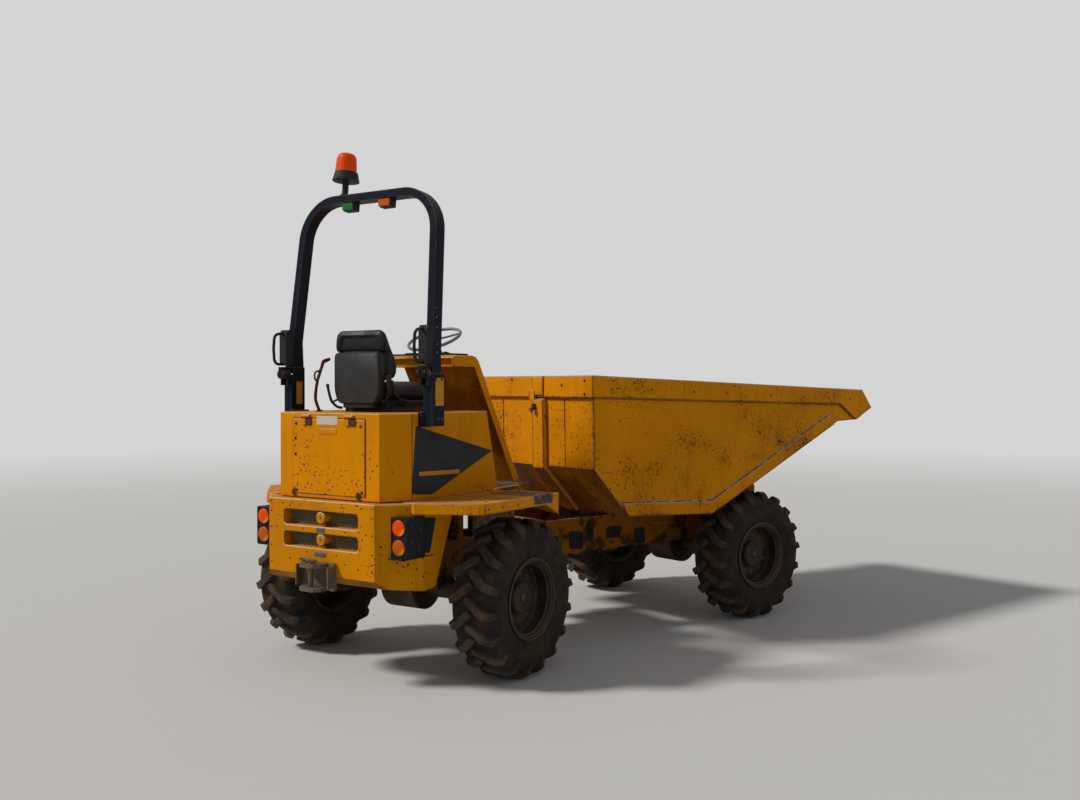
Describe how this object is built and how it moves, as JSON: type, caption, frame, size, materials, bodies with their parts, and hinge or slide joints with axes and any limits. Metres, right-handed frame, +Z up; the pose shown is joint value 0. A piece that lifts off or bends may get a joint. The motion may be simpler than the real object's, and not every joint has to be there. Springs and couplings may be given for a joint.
{
  "type": "site dumper",
  "caption": "Articulated four-wheel site dumper with a front-tipping skip, folding roll frame, open driver's seat and rear engine cover.",
  "frame": {"origin": "bottom centre of the bounding box, on the ground between the four tyres' outlines", "axes": "+X forward along the rear module, +Y to its left, +Z up; the front module is stored turned 18.5 degrees to the right"},
  "size_m": [5.2836, 2.8746, 3.259],
  "materials": {
    "tyre": "worn rubber with dried mud",
    "rim_steel": "dull dark paint with dust",
    "seat_vinyl": "matt vinyl",
    "black_plastic": "matt",
    "lens_red": "ribbed lens",
    "lens_amber": "ribbed lens",
    "lens_green": "ribbed lens",
    "frame_black": "semi-gloss with scratches",
    "dark_steel": "oily and dusty",
    "rod_chrome": "polished",
    "floor_dark": "worn",
    "rubber_pad": "matt",
    "yellow_paint": "chipped, rusty and dusty"
  },
  "bodies": {
    "chassis": {"rear_frame": "yellow_paint", "rear_axle": "dark_steel", "counterweight": "yellow_paint", "tow_jaw": "dark_steel", "lamp_boxes": "black_plastic", "lamps_upper": "lens_red", "lamps_lower": "lens_amber", "bonnet": "yellow_paint", "deck_left": "yellow_paint", "deck_right": "yellow_paint", "floor_plate": "floor_dark", "engine_block": "dark_steel", "seat_base": "dark_steel", "seat_cushion": "seat_vinyl", "seat_shell": "black_plastic", "seat_back": "seat_vinyl", "console": "yellow_paint", "instrument_panel": "black_plastic", "steering_column": "dark_steel", "levers": "black_plastic", "roll_frame_posts": "frame_black"},
    "rear_wheel_left": {"rear_tyre_left": "tyre", "rear_rim_left": "rim_steel"},
    "rear_wheel_right": {"rear_tyre_right": "tyre", "rear_rim_right": "rim_steel"},
    "front_chassis": {"front_frame": "yellow_paint", "front_axle": "dark_steel", "rest_pads": "rubber_pad"},
    "front_wheel_left": {"front_tyre_left": "tyre", "front_rim_left": "rim_steel"},
    "front_wheel_right": {"front_tyre_right": "tyre", "front_rim_right": "rim_steel"},
    "skip_body": {"skip": "yellow_paint"},
    "tip_cylinder": {"tip_barrel": "dark_steel"},
    "tip_piston": {"tip_rod": "rod_chrome"},
    "steer_cylinder": {"steer_barrel": "dark_steel"},
    "steer_piston": {"steer_rod": "rod_chrome"},
    "hoop": {"roll_hoop": "frame_black", "grab_handles": "frame_black", "beacon_base": "black_plastic", "beacon_lens": "lens_amber", "bar_lamp_green": "lens_green", "bar_lamp_amber": "lens_amber", "bar_lamp_housings": "black_plastic"},
    "door": {"rear_door": "yellow_paint"},
    "steering_handwheel": {"steering_wheel": "black_plastic"}
  },
  "joints": [
    {"name": "rear_wheel_left_spin", "type": "hinge", "parent": "chassis", "child": "rear_wheel_left", "pos_m": [-1.69177, 1.27735, 0.4825], "axis": [0, 1, 0], "continuous": true},
    {"name": "rear_wheel_right_spin", "type": "hinge", "parent": "chassis", "child": "rear_wheel_right", "pos_m": [-1.69177, -0.33465, 0.4825], "axis": [0, 1, 0], "continuous": true},
    {"name": "steer", "type": "hinge", "parent": "chassis", "child": "front_chassis", "pos_m": [-0.69177, 0.47135, 0.5955], "axis": [0, 0, 1], "range_deg": [-14.5, 51.5]},
    {"name": "front_wheel_left_spin", "type": "hinge", "parent": "front_chassis", "child": "front_wheel_left", "pos_m": [1.25199, 0.67089, 0.4825], "axis": [0.3173, 0.9483, 0], "continuous": true},
    {"name": "front_wheel_right_spin", "type": "hinge", "parent": "front_chassis", "child": "front_wheel_right", "pos_m": [0.7405, -0.8578, 0.4825], "axis": [0.3173, 0.9483, 0], "continuous": true},
    {"name": "skip_tip", "type": "hinge", "parent": "front_chassis", "child": "skip_body", "pos_m": [1.25229, -0.17913, 1.0705], "axis": [0.3173, 0.9483, 0], "range_deg": [0, 68]},
    {"name": "tip_barrel_swing", "type": "hinge", "parent": "front_chassis", "child": "tip_cylinder", "pos_m": [0.06689, 0.2175, 0.6205], "axis": [0.3173, 0.9483, 0], "range_deg": [-32.89, 1]},
    {"name": "tip_rod_slide", "type": "slide", "parent": "tip_cylinder", "child": "tip_piston", "axis": [0.9064, -0.3033, 0.2941], "range_m": [-0.005, 0.53426]},
    {"name": "steer_barrel_swing", "type": "hinge", "parent": "chassis", "child": "steer_cylinder", "pos_m": [-1.07177, 0.62135, 0.6105], "axis": [0, 0, 1], "range_deg": [-3.93, 11.39]},
    {"name": "steer_rod_slide", "type": "slide", "parent": "steer_cylinder", "child": "steer_piston", "axis": [0.9999, -0.0118, 0], "range_m": [-0.1671, 0.05064]},
    {"name": "roll_frame_fold", "type": "hinge", "parent": "chassis", "child": "hoop", "pos_m": [-2.26277, 0.47135, 1.8505], "axis": [0, -1, 0], "range_deg": [0, 95]},
    {"name": "rear_door_hinge", "type": "hinge", "parent": "chassis", "child": "door", "pos_m": [-2.46677, 0.47135, 1.5955], "axis": [0, 1, 0], "range_deg": [0, 80]},
    {"name": "steering_wheel_turn", "type": "hinge", "parent": "chassis", "child": "steering_handwheel", "pos_m": [-1.44677, 0.47135, 2.0895], "axis": [-0.4226, 0, 0.9063], "continuous": true}
  ],
  "couplings": [
    {"joint": "tip_barrel_swing", "follows": "skip_tip", "ratio": -0.46904},
    {"joint": "tip_rod_slide", "follows": "skip_tip", "m_per_rad": 0.44595},
    {"joint": "steer_barrel_swing", "follows": "steer", "ratio": 0.20177},
    {"joint": "steer_rod_slide", "follows": "steer", "m_per_rad": -0.18034}
  ]
}
